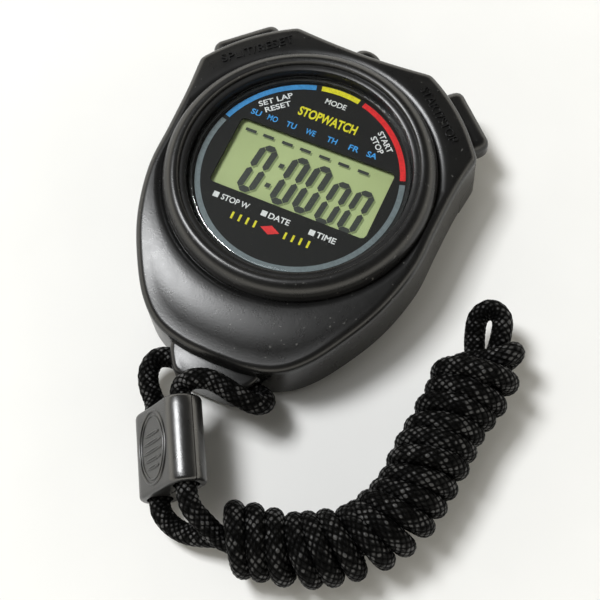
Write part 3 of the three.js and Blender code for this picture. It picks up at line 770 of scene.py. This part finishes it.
def front_case_rows():
    """Closed rows from the foot up the wall, over the face and the bezel, and back inside to the foot."""
    foot = np.where(UPPER, SEAM_HIGH, SEAM_LOW) + SEAM_GAP / 2
    inner = OUTLINE - OUTWARD * EDGE_ROUND
    inner_r = np.linalg.norm(inner, axis=1)
    crown = face_height(inner_r)
    wall_top = crown - EDGE_ROUND
    rows = [offset_row(WALL, foot), offset_row(LIP, foot), offset_row(0, foot + LIP)]
    for t in (0.06, 0.3, 0.55, 0.8, 1.0):
        rows.append(offset_row(0, foot + LIP + (wall_top - foot - LIP) * t))
    for i in range(1, 9):
        angle = math.radians(90 * i / 8)
        rows.append(offset_row(EDGE_ROUND * (1 - math.cos(angle)), wall_top + EDGE_ROUND * math.sin(angle)))
    crease_r = np.minimum(CREASE_R, inner_r - 0.15)
    for t in (0.2, 0.4, 0.6, 0.8, 1.0):
        mix = inner * (1 - t) + DIRECTION * crease_r[:, None] * t
        rows.append(at_height(mix, face_height(np.linalg.norm(mix, axis=1))))
    depth = np.clip((crease_r - 26.8) / 1.5, 0.15, 1)
    rows.append(circle_row(GROOVE_R + (crease_r - GROOVE_R) * 0.5, GROOVE_TOP))
    rows.append(circle_row(GROOVE_R + (crease_r - GROOVE_R) * 0.22, GROOVE_TOP - 0.25 * depth))
    rows.append(circle_row(26.78, 14.85))
    rows.append(circle_row(26.74, 14.85))
    bezel = [(26.74, 15.1), (26.66, 15.9), (26.45, 16.7), (26.1, 17.4), (25.65, 18.0), (25.1, 18.45),
             (24.5, 18.72), (23.95, 18.78), (23.5, 18.64), (23.26, 18.36), (23.2, 18.05), (23.16, 17.75),
             (22.75, 17.74), (22.2, 17.72), (22.02, 17.64), (21.95, 17.4), (21.9, 16.4), (21.9, 15.2),
             (20.8, 15.2), (20.8, 14.8), (21.8, 14.75), (23.2, 13.4)]
    rows += [circle_row(r, z) for r, z in bezel]
    rows.append(offset_row(WALL, 12.4))
    return rows


def turn_z(angle):
    c, s = math.cos(angle), math.sin(angle)
    return np.array([[c, -s, 0], [s, c, 0], [0, 0, 1]])


def upright_row(outline, reach, middle_z):
    """An outline stood across the line from the dial's middle to 12 o'clock, at a distance along it."""
    return np.column_stack([outline[:, 0], np.full(len(outline), reach), outline[:, 1] + middle_z])


def slot_bar(angle, half_wide, half_high, radius, low, high, middle_z):
    """A rounded bar that points from the dial's middle towards a button."""
    outline = rounded_rectangle(2 * half_wide, 2 * half_high, radius, 8)
    points, faces = closed_rows([upright_row(outline, reach, middle_z) for reach in (low, high)])
    return points @ turn_z(angle).T, faces


BUTTON_ANGLE = math.radians(42.5)
BUTTON_W = 14.4
BUTTON_H = 6.0
BUTTON_Z = 8.0
BUTTON_ROUND = 2.2
BUTTON_GAP = 0.35
MODE_R = 3.1
MODE_Z = 7.8
MODE_GAP = 0.3
LUG_MIDDLE = np.array([0, -38])
LUG_RIGHT = [[9.6, -35.5], [9.4, -39.0], [8.9, -40.6], [7.6, -42.7], [6.9, -43.6], [6.2, -44.15],
             [5.2, -44.4]]
LUG_CORNERS = [[-x, y] for x, y in LUG_RIGHT] + LUG_RIGHT[::-1]
TUNNEL_AT = np.array([0, -41.3, 6])
TUNNEL_R = 2.6


def slot_cutters():
    """The openings in the case's edge for the three buttons."""
    cutters = []
    for angle in (-BUTTON_ANGLE, BUTTON_ANGLE):
        cutters.append(slot_bar(angle, BUTTON_W / 2 + BUTTON_GAP, BUTTON_H / 2 + BUTTON_GAP,
                                BUTTON_ROUND + BUTTON_GAP, 29.0, 41.0, BUTTON_Z))
    cutters.append(slot_bar(0, MODE_R + MODE_GAP, MODE_R + MODE_GAP, MODE_R + 0.29, 27.5, 36.0, MODE_Z))
    return [mesh_from("slot", *part, smooth=False) for part in cutters]


def make_front_shell():
    shape = closed_rows(front_case_rows(), wrap=True)
    piece = add_solid("front_shell", shape, "case", BLACK)
    cut_with(piece, slot_cutters())
    crease(piece, 32)
    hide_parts("front_case")


def make_lug():
    """The lanyard lug, with the cord's tunnel from side to side."""
    away = spline(LUG_CORNERS, 0.4) - LUG_MIDDLE
    size = np.linalg.norm(away, axis=1)[:, None]
    rows = []
    for drop, z in [(0.35, 1.5), (0.0, 1.85), (0.0, 4), (0, 6), (0, 8.2), (0.12, 8.9), (0.5, 9.4),
                    (1.1, 9.6)]:
        rows.append(at_height(LUG_MIDDLE + away * (1 - drop / size), z))
    lug = add_solid("lanyard_lug", closed_rows(rows), "case", BLACK)
    points, faces = drum(0, 0, TUNNEL_R, -14, 14, 40)
    points = points @ np.array([[0, 0, 1], [0, 1, 0], [-1, 0, 0]]).T
    cut_with(lug, [mesh_from("tunnel", points + TUNNEL_AT, faces, smooth=False)])
    crease(lug, 35)


make_front_shell()
make_lug()


# ---- back cover
SCREWS_AT = [(9.5, 24.3), (-9.5, 24.3), (13.4, -28.8), (-13.4, -28.8)]
SCREW_HOLE_R = 2.5


def make_back_cover():
    """The back, drawn in under the lower case and standing up to the seam under the shoulders."""
    reach = np.where(UPPER, 0.0, 0.6)
    rim = np.where(UPPER, SEAM_HIGH - SEAM_GAP / 2, 1.32)
    shelf = np.where(UPPER, 0.8, 0.9)
    steps = [(1.05, 0), (0.8, 0.08), (0.64, 0.28), (0.6, 0.5), (0.6, 0.78), (reach + 0.06, shelf),
             (reach, shelf + 0.08), (reach, rim - 0.1), (reach + 0.1, rim), (WALL, rim), (WALL, 1.3)]
    shape = closed_rows([offset_row(distance, height) for distance, height in steps])
    piece = add_solid("back_shell", shape, "case", BLACK)
    holes = [drum(x, y, SCREW_HOLE_R, -1, 4) for x, y in SCREWS_AT]
    cut_with(piece, [mesh_from("hole", *hole, smooth=False) for hole in holes])
    cut_with(piece, slot_cutters())
    crease(piece, 30)
    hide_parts("back_cover")


make_back_cover()


# ---- lens and buttons
def make_lens():
    profile = [(1, 15.55), (21.6, 15.55), (21.6, 16.05), (21.45, 16.3), (21.15, 16.48), (20.8, 16.52),
               (16, 16.62), (10, 16.7), (4, 16.74), (1, 16.75)]
    piece = add_solid("lens_window", turned(profile), "case", GLASS)
    crease(piece, 30)
    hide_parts("lens")


def make_shoulder_button(name, body, angle):
    outline = rounded_rectangle(BUTTON_W, BUTTON_H, BUTTON_ROUND, 10)
    away = rounded_rectangle(2, 2, 1, 10)
    levels = [(0, 29.7), (0, 31), (0, 33.5), (0, 35.6), (0.04, 36.3), (0.2, 36.95), (0.5, 37.45),
              (0.95, 37.8), (1.5, 37.97), (2.2, 38.0)]
    rows = [upright_row(outline - away * drop, reach, BUTTON_Z) for drop, reach in levels]
    points, faces = closed_rows(rows)
    shape = (points @ turn_z(angle).T, faces)
    piece = add_solid(f"{name}_cap", shape, body, BLACK)
    crease(piece, 40)
    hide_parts(f"{name}_button")


def make_mode_button():
    profile = [(1.2, 24.9), (1.2, 25.9), (3.8, 25.9), (3.8, 27.2), (3.1, 27.2), (3.1, 32.4), (3.04, 32.9),
               (2.85, 33.35), (2.5, 33.7), (2.0, 33.9), (1.2, 33.98), (0.4, 34.0)]
    points, faces = turned(profile, 64)
    points = np.column_stack([points[:, 0], points[:, 2], -points[:, 1] + MODE_Z])
    piece = add_solid("mode_cap", (points, faces), "mode", BLACK)
    crease(piece, 35)
    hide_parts("mode_button")


make_lens()
make_shoulder_button("start_stop", "start_stop", -BUTTON_ANGLE)
make_shoulder_button("split_reset", "split_reset", BUTTON_ANGLE)
make_mode_button()


# ---- lettering and print
DIAL_R = 20.0  # the print is placed in shares of this
PRINT_Z = 14.66
RING_INNER_R = 19.4
RING_OUTER_R = 20.5


def letters(text, width, height, bold=0.02, depth=0.0):
    """Points and faces of a word in the built-in font, fitted to a width and a height, about its middle."""
    curve = bpy.data.curves.new("letters", "FONT")
    curve.body = text
    curve.size = 1
    curve.offset = bold
    curve.resolution_u = 6
    curve.extrude = depth
    writing = bpy.data.objects.new("letters", curve)
    bpy.context.scene.collection.objects.link(writing)
    bpy.context.view_layer.update()
    whole = writing.evaluated_get(bpy.context.evaluated_depsgraph_get())
    data = bpy.data.meshes.new_from_object(whole)
    points = np.array([v.co for v in data.vertices], float)
    faces = [tuple(face.vertices) for face in data.polygons]
    bpy.data.objects.remove(writing)
    low, high = points.min(0), points.max(0)
    points[:, 0] = (points[:, 0] - (low[0] + high[0]) / 2) * width / (high[0] - low[0])
    points[:, 1] = (points[:, 1] - (low[1] + high[1]) / 2) * height / (high[1] - low[1])
    return points, faces


def placed(part, x, y, z, turn=0.0):
    points, faces = part
    return points @ turn_z(turn).T + np.array([x, y, z]), faces


def at_angle(part, radius, degrees, z=PRINT_Z):
    """Puts a word across the line from the middle to a clock direction, reading along the ring."""
    a = math.radians(degrees)
    return placed(part, radius * math.sin(a), radius * math.cos(a), z, -a)


def ring_band(start, end):
    """Part of the printed ring between two clock directions, in degrees from 12 o'clock."""
    angle = np.radians(np.linspace(start, end, max(8, int(abs(end - start)) + 1)))
    around = np.column_stack([np.sin(angle), np.cos(angle)])
    rows = [at_height(radius * around, PRINT_Z) for radius in (RING_INNER_R, RING_OUTER_R)]
    count = len(angle)
    return np.vstack(rows), [(i, i + 1, count + i + 1, count + i) for i in range(count - 1)]


def flat_shape(outline, z):
    return at_height(outline, z), [tuple(range(len(outline)))]


def add_print(name, parts, material):
    points, faces = merged(parts)
    data = bpy.data.meshes.new(name)
    data.from_pydata((points * MM).tolist(), [], [list(f) for f in faces])
    return link(name, data, "case", material)


WHITE = printed("ink_white", (0.80, 0.80, 0.80), 0.06)
YELLOW = printed("ink_yellow", (0.80, 0.72, 0.012))
BLUE = printed("ink_blue", (0.035, 0.27, 0.62))
LETTER_BLUE = printed("ink_light_blue", (0.045, 0.35, 0.82))
RED = printed("ink_red", (0.80, 0.012, 0.015))
GREY = printed("ink_grey", (0.155, 0.19, 0.205))


TICK = box(0, 0, 0.22, 0.75)
RING_WORDS = [("SET LAP", 7.0, 0.895, -40), ("RESET", 5.3, 0.81, -40), ("START", 5.0, 0.905, 43),
              ("STOP", 4.1, 0.82, 43), ("MODE", 4.4, 0.865, 0)]
MODE_WORDS = [("STOP W", 5.9, -0.455, -0.497), ("DATE", 4.4, 0.015, -0.505), ("TIME", 4.0, 0.51, -0.512)]
MODE_SQUARES = [(-0.663, -0.497), (-0.145, -0.505), (0.362, -0.513)]
DAYS = [("SU", -0.69), ("MO", -0.51), ("TU", -0.31), ("WE", -0.10), ("TH", 0.13), ("FR", 0.365),
        ("SA", 0.556)]


def on_dial(part, x, y):
    """Puts a part on the dial, at shares of its radius."""
    return placed(part, x * DIAL_R, y * DIAL_R, PRINT_Z)


def make_dial_print():
    white = [at_angle(letters(word, width, 1.2), share * DIAL_R, degrees)
             for word, width, share, degrees in RING_WORDS]
    white += [on_dial(letters(word, width, 1.25), x, y) for word, width, x, y in MODE_WORDS]
    white += [flat_shape(box(x * DIAL_R, y * DIAL_R, 0.58, 0.58), PRINT_Z) for x, y in MODE_SQUARES]
    add_print("print_white", white, WHITE)
    yellow = [on_dial(letters("STOPWATCH", 12.4, 2.1, 0.03), 0, 0.668), ring_band(-11.7, 11.7)]
    for i in range(-5, 6):
        if abs(i) > 1:
            y = -0.645 * DIAL_R + 0.02 * abs(i)
            yellow.append(placed(flat_shape(TICK, 0), 1.6 * i - 0.4, y, PRINT_Z))
    add_print("print_yellow", yellow, YELLOW)
    add_print("print_days", [on_dial(letters(day, 2.1, 1.25), x, 0.478) for day, x in DAYS], LETTER_BLUE)
    add_print("print_blue_arc", [ring_band(-70.5, -14.8)], BLUE)
    diamond = flat_shape([[-2.4, -12.9], [-0.4, -13.9], [1.6, -12.9], [-0.4, -11.9]], PRINT_Z)
    add_print("print_red", [ring_band(14.8, 70.5), diamond], RED)
    add_print("print_grey_arc", [ring_band(73, 287)], GREY)


make_dial_print()


# ---- liquid-crystal display
LCD_Z = 13.44
SLANT = math.tan(math.radians(6.2))
SHADOW_SHIFT = np.array([0.42, -0.3])
DAY_MARKS_X = (-0.67, -0.48, -0.275, -0.08, 0.126, 0.331, 0.54)  # shares of the dial's radius
DAY_MARKS_Y = 6.05
ZERO = "abcdef"


def segment(start, end, half):
    """A bar with pointed ends."""
    start, end = np.array(start, float), np.array(end, float)
    along = (end - start) / np.linalg.norm(end - start)
    side = np.array([-along[1], along[0]]) * half
    tip = along * half
    return [start, start + tip - side, end - tip - side, end, end - tip + side, start + tip + side]


def digit(shown, width, height, half=0.66):
    """Outlines of a seven-segment figure about its middle; shown lists lit segments a to f."""
    x, y = width / 2 - half, height / 2 - half
    places = {"a": ((-x, y), (x, y)), "b": ((x, y), (x, 0)), "c": ((x, 0), (x, -y)),
              "d": ((-x, -y), (x, -y)), "e": ((-x, 0), (-x, -y)), "f": ((-x, y), (-x, 0))}
    gap = 0.05
    outlines = []
    for key in shown:
        a, b = (np.array(p, float) for p in places[key])
        along = (b - a) / np.linalg.norm(b - a)
        outlines.append(segment(a + along * gap, b - along * gap, half))
    return outlines


def lcd_shapes():
    """All dark shapes of the display, as outlines on its face; the figures and the colon slant."""
    shapes = []

    def add(outlines, x, y):
        for outline in outlines:
            points = np.array(outline) + np.array([x, y])
            points[:, 0] += (points[:, 1] + 1.2) * SLANT
            shapes.append(points)

    for x in (-8.6, -1.55, 3.2):
        add(digit(ZERO, 3.9, 11.3), x, -1.25)
    for x in (8.2, 13.0):
        add(digit(ZERO, 3.8, 10.0, 0.6), x, -2.4)
    for x, y in [(-4.75, 1.1), (-4.95, -3.78)]:
        add([box(0, 0, 0.5, 0.5)], x, y)
    shapes += [box(x * DIAL_R, DAY_MARKS_Y, 1.15, 0.33) for x in DAY_MARKS_X]
    return shapes


def lcd_panel_material():
    material, tree, shader = new_material("lcd_panel")
    tone = noise(tree, 60, 3, 0.5)
    colour = ramp(tree, tone, [(0.3, (0.40, 0.47, 0.20)), (0.7, (0.48, 0.56, 0.26))])
    tree.links.new(colour, shader.inputs["Base Color"])
    fine = noise(tree, 6000, 1, 0.5)
    tree.links.new(spread(tree, fine, 0.42, 0.55), shader.inputs["Roughness"])
    bump(tree, [(fine, 0.1, 0.02)], shader)
    return material


def set_material(node, material):
    """Gives a CAD node one material."""
    NODES[node].data.materials.clear()
    NODES[node].data.materials.append(material)


def make_lcd():
    set_material("lcd_front_polarizer", lcd_panel_material())
    shadow = printed("lcd_shadow", (0.21, 0.26, 0.105), 0.1, (0.5, 0.6))
    dark = printed("lcd_dark", (0.026, 0.031, 0.026), 0.15, (0.4, 0.5))
    shapes = lcd_shapes()
    shadows = [flat_shape(outline + SHADOW_SHIFT, LCD_Z - 0.02) for outline in shapes]
    add_print("lcd_segment_shadows", shadows, shadow)
    add_print("lcd_segments", [flat_shape(outline, LCD_Z) for outline in shapes], dark)


make_lcd()


# ---- words on the shoulders
def make_shoulder_words():
    parts = []
    for text, degrees, width in [("SPLIT/RESET", -41, 15.0), ("START/STOP", 41, 13.6)]:
        word = letters(text, width, 1.75, -0.005, 0.5)
        word[0][:, 2] *= 0.3
        parts.append(at_angle(word, 30.1, degrees, 15.36))
    add_solid("shoulder_words", merged(parts), "case", BLACK, smooth=False)


make_shoulder_words()


# ---- CAD nodes that show as they are
def dress():
    board = moulded("board_mask", (0.008, 0.06, 0.022), (0.014, 0.095, 0.035), (0.3, 0.42), grain=900)
    steel = metal("steel_bright", grey(0.42), grey(0.62), (0.24, 0.42))
    brass = metal("brass_spring", (0.52, 0.35, 0.11), (0.72, 0.52, 0.2), (0.25, 0.4))
    cell = metal("cell_can", grey(0.5), grey(0.68), (0.2, 0.34), (60, 60, 900), 0.1)
    resin = moulded("chip_resin", grey(0.006), grey(0.012), (0.2, 0.32), grain=600)
    ceramic = moulded("ceramic_body", (0.30, 0.16, 0.07), (0.46, 0.27, 0.12), (0.45, 0.6))
    holder = moulded("module_plastic", grey(0.016), grey(0.028), (0.5, 0.62))
    film = moulded("lcd_film_back", (0.40, 0.43, 0.34), (0.50, 0.53, 0.42), (0.3, 0.45), relief=0.05)
    glass_edge = moulded("lcd_cell", (0.20, 0.26, 0.10), (0.28, 0.34, 0.14), (0.12, 0.2), relief=0.03)
    looks = [
        (board, ["circuit_board"]),
        (cell, ["button_cell"]),
        (resin, ["chip_cover", "buzzer_coil"]),
        (ceramic, ["capacitor_left", "capacitor_right"]),
        (holder, ["module_frame"]),
        (film, ["lcd_reflector"]),
        (glass_edge, ["lcd_glass"]),
        (DIAL, ["dial_plate"]),
        (RUBBER, ["case_gasket", "lens_seal", "zebra_strip_upper", "zebra_strip_lower", "start_stop_seal",
                  "split_reset_seal", "mode_seal"]),
        (steel, ["quartz_crystal", "battery_clip", "case_screw_1", "case_screw_2", "case_screw_3",
                 "case_screw_4", "board_screw_1", "board_screw_2", "board_screw_3"]),
        (brass, ["battery_contact", "buzzer_disc", "buzzer_spring_inner", "buzzer_spring_rim",
                 "start_stop_contact", "split_reset_contact", "mode_contact"])]
    for material, names in looks:
        for name in names:
            set_material(name, material)


dress()


# ---- stage and light
FLOOR_HALF = 1500
FLOOR_Z = -0.04
LAMP_COLOUR = (0.98, 0.99, 1.0)


def make_stage():
    data = bpy.data.meshes.new("floor")
    points, faces = flat_shape(box(0, 0, FLOOR_HALF, FLOOR_HALF), FLOOR_Z)
    data.from_pydata((points * MM).tolist(), [], faces)
    floor = bpy.data.objects.new("floor", data)
    bpy.context.scene.collection.objects.link(floor)
    material, tree, shader = new_material("floor_white")
    paper = noise(tree, 30, 3, 0.5)
    tree.links.new(ramp(tree, paper, [(0.3, (0.80, 0.80, 0.785)), (0.7, (0.83, 0.83, 0.815))]),
                   shader.inputs["Base Color"])
    shader.inputs["Roughness"].default_value = 0.7
    shader.inputs["Specular IOR Level"].default_value = 0.2
    data.materials.append(material)


def area_light(name, place, target, size, power):
    """A rectangular lamp; place, target and size are in metres."""
    data = bpy.data.lights.new(name, "AREA")
    data.shape = "RECTANGLE"
    data.size, data.size_y = size
    data.energy = power
    data.color = LAMP_COLOUR
    lamp = bpy.data.objects.new(name, data)
    bpy.context.scene.collection.objects.link(lamp)
    lamp.location = place
    lamp.rotation_euler = (Vector(target) - Vector(place)).to_track_quat("-Z", "Y").to_euler()


def make_light():
    world = bpy.data.worlds.new("studio")
    world.use_nodes = True
    tree = world.node_tree
    place = add_node(tree, "ShaderNodeTexCoord")
    height = add_node(tree, "ShaderNodeSeparateXYZ")
    tree.links.new(place.outputs["Generated"], height.inputs["Vector"])
    sky = ramp(tree, height.outputs["Z"], [(0.0, (2.15, 2.06, 1.84)), (0.32, (1.95, 1.87, 1.67)),
                                           (0.54, (0.08, 0.078, 0.072)), (1.0, (0.08, 0.078, 0.072))])
    tree.links.new(sky, tree.nodes["Background"].inputs["Color"])
    tree.nodes["Background"].inputs["Strength"].default_value = 1.0
    bpy.context.scene.world = world
    area_light("window", (-1.00, 0.06, 1.83), (0, -0.01, 0.01), (0.62, 0.62), 39.0)
    area_light("ceiling", (-0.36, -0.16, 1.60), (0, 0, 0), (0.42, 0.42), 2.2)
    bpy.context.scene.view_settings.view_transform = "Standard"


make_stage()
make_light()
